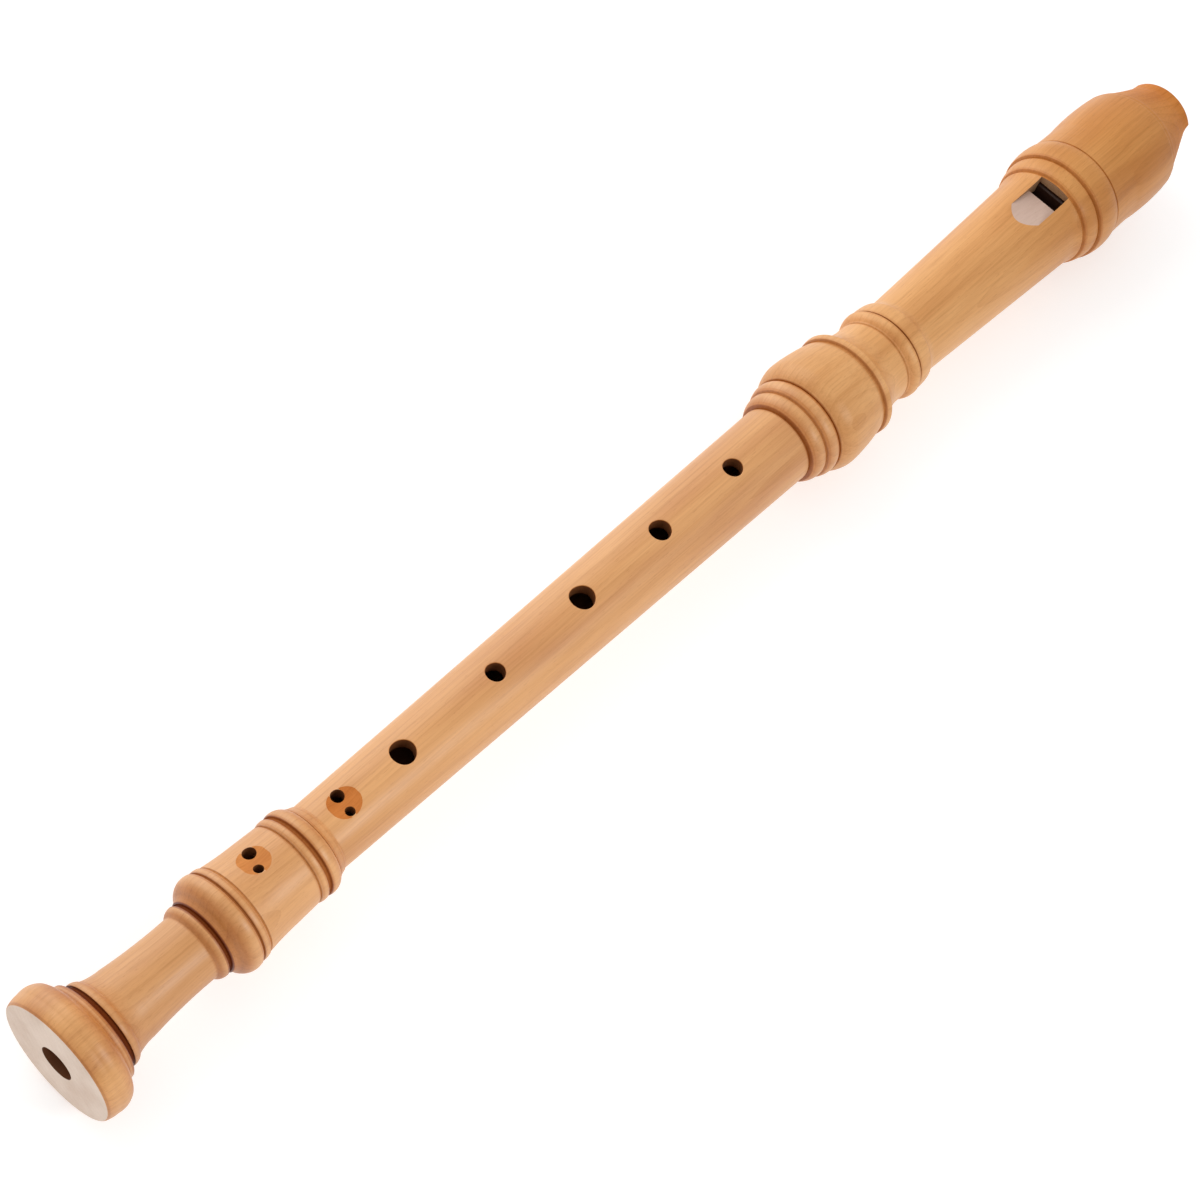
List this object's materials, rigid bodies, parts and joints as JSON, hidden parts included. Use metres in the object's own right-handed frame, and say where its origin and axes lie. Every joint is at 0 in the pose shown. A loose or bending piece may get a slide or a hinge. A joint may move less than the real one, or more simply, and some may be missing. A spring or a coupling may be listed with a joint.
{
  "type": "soprano recorder",
  "caption": "Wooden soprano recorder in baroque style: turned foot, middle and head joints on corked tenons, with finger holes, window and beak.",
  "frame": {"origin": "centre of the bell's end face, on the axis of the bore", "axes": "+X along the bore from the bell to the beak, +Z out through the finger holes of the middle joint, +Y to the player's right"},
  "size_m": [0.3313, 0.027, 0.027],
  "materials": {
    "pearwood": "oiled satin, fine straight grain along the tube",
    "cork": "matte, fine pores, lightly greased",
    "cedar": "matte, straight grain, unvarnished"
  },
  "bodies": {
    "middle": {"middle_joint": "pearwood"},
    "upper_sleeve": {"upper_cork": "cork"},
    "head": {"head_joint": "pearwood", "block": "cedar"},
    "lower_sleeve": {"lower_cork": "cork"},
    "foot": {"foot_joint": "pearwood"}
  },
  "joints": [
    {"name": "head_turn", "type": "hinge", "parent": "middle", "child": "upper_sleeve", "pos_m": [0.20085, 0, 0], "axis": [1, 0, 0], "continuous": true},
    {"name": "head_slide", "type": "slide", "parent": "upper_sleeve", "child": "head", "axis": [1, 0, 0], "range_m": [0, 0.0164]},
    {"name": "foot_turn", "type": "hinge", "parent": "middle", "child": "lower_sleeve", "pos_m": [0.06, 0, 0], "axis": [1, 0, 0], "continuous": true},
    {"name": "foot_slide", "type": "slide", "parent": "lower_sleeve", "child": "foot", "axis": [-1, 0, 0], "range_m": [0, 0.0108]}
  ]
}
